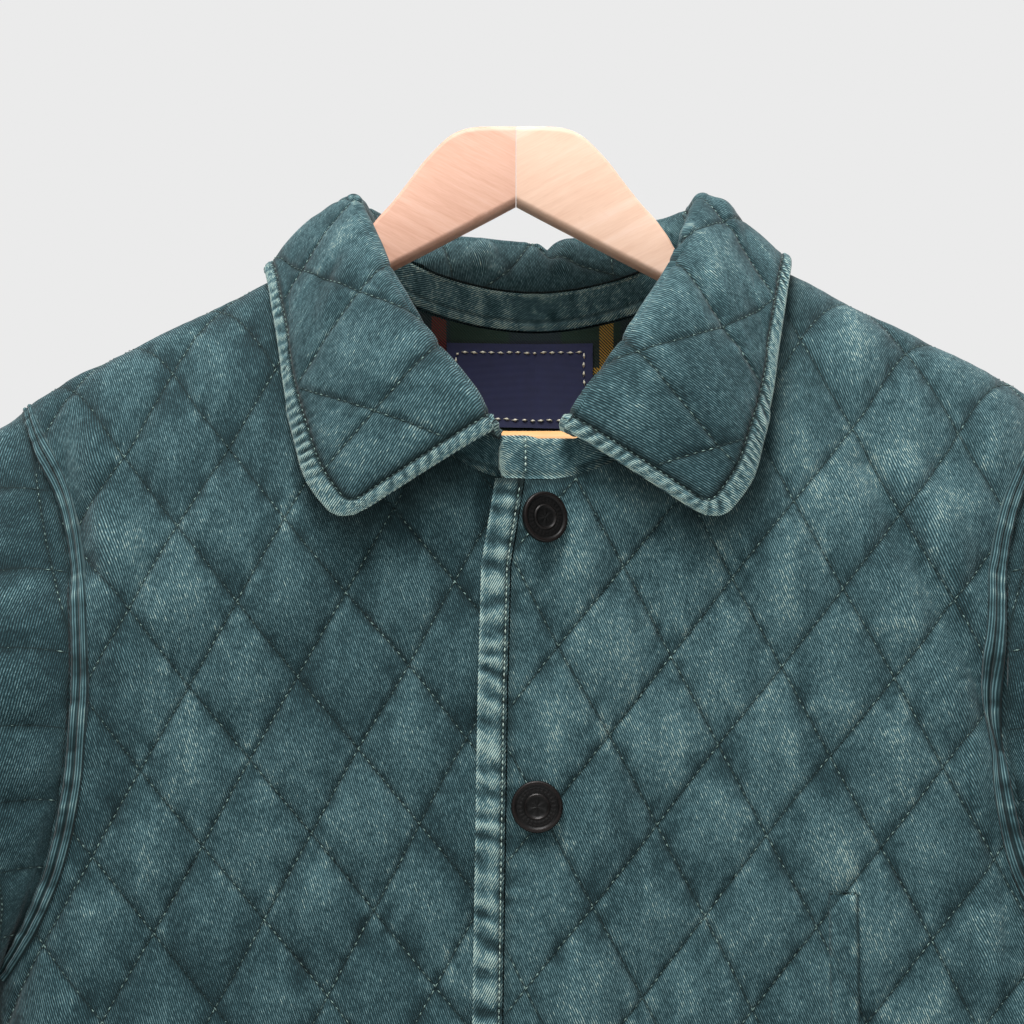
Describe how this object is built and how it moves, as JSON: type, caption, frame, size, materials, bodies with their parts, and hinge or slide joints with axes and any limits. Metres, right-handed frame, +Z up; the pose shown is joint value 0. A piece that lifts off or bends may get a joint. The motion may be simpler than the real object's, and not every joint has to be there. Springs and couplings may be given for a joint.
{
  "type": "quilted jacket on a hanger",
  "caption": "Hip-length quilted jacket with a turned-down collar, front buttons and set-in sleeves, hanging buttoned on a wooden hanger.",
  "frame": {"origin": "top centre of the wooden hanger, where its hook would be held", "axes": "+Z up, the jacket's front towards -Y, the wearer's left towards +X"},
  "size_m": [0.8034, 0.1573, 0.79],
  "materials": {
    "quilted_cloth": "matt washed twill",
    "plain_cloth": "matt washed twill, worn at its edges",
    "lining_cloth": "matt tartan weave",
    "label_cloth": "woven, slight sheen",
    "button": "dark, satin, worn on the rim",
    "wood_light": "smooth, satin",
    "wood_pink": "smooth, satin",
    "wood_bar": "smooth, satin"
  },
  "bodies": {
    "root": {"front_left": "quilted_cloth", "front_right": "quilted_cloth", "back": "quilted_cloth", "sleeve_left": "quilted_cloth", "sleeve_right": "quilted_cloth", "collar": "quilted_cloth", "neck_band": "plain_cloth", "armhole_band_left": "plain_cloth", "armhole_band_right": "plain_cloth", "front_strip": "plain_cloth", "pocket_welt": "plain_cloth", "neck_lining": "lining_cloth", "neck_label": "label_cloth", "button_1": "button", "button_2": "button", "button_3": "button", "button_4": "button", "button_5": "button", "hanger_left": "wood_light", "hanger_right": "wood_pink", "hanger_bar": "wood_bar"}
  },
  "joints": []
}
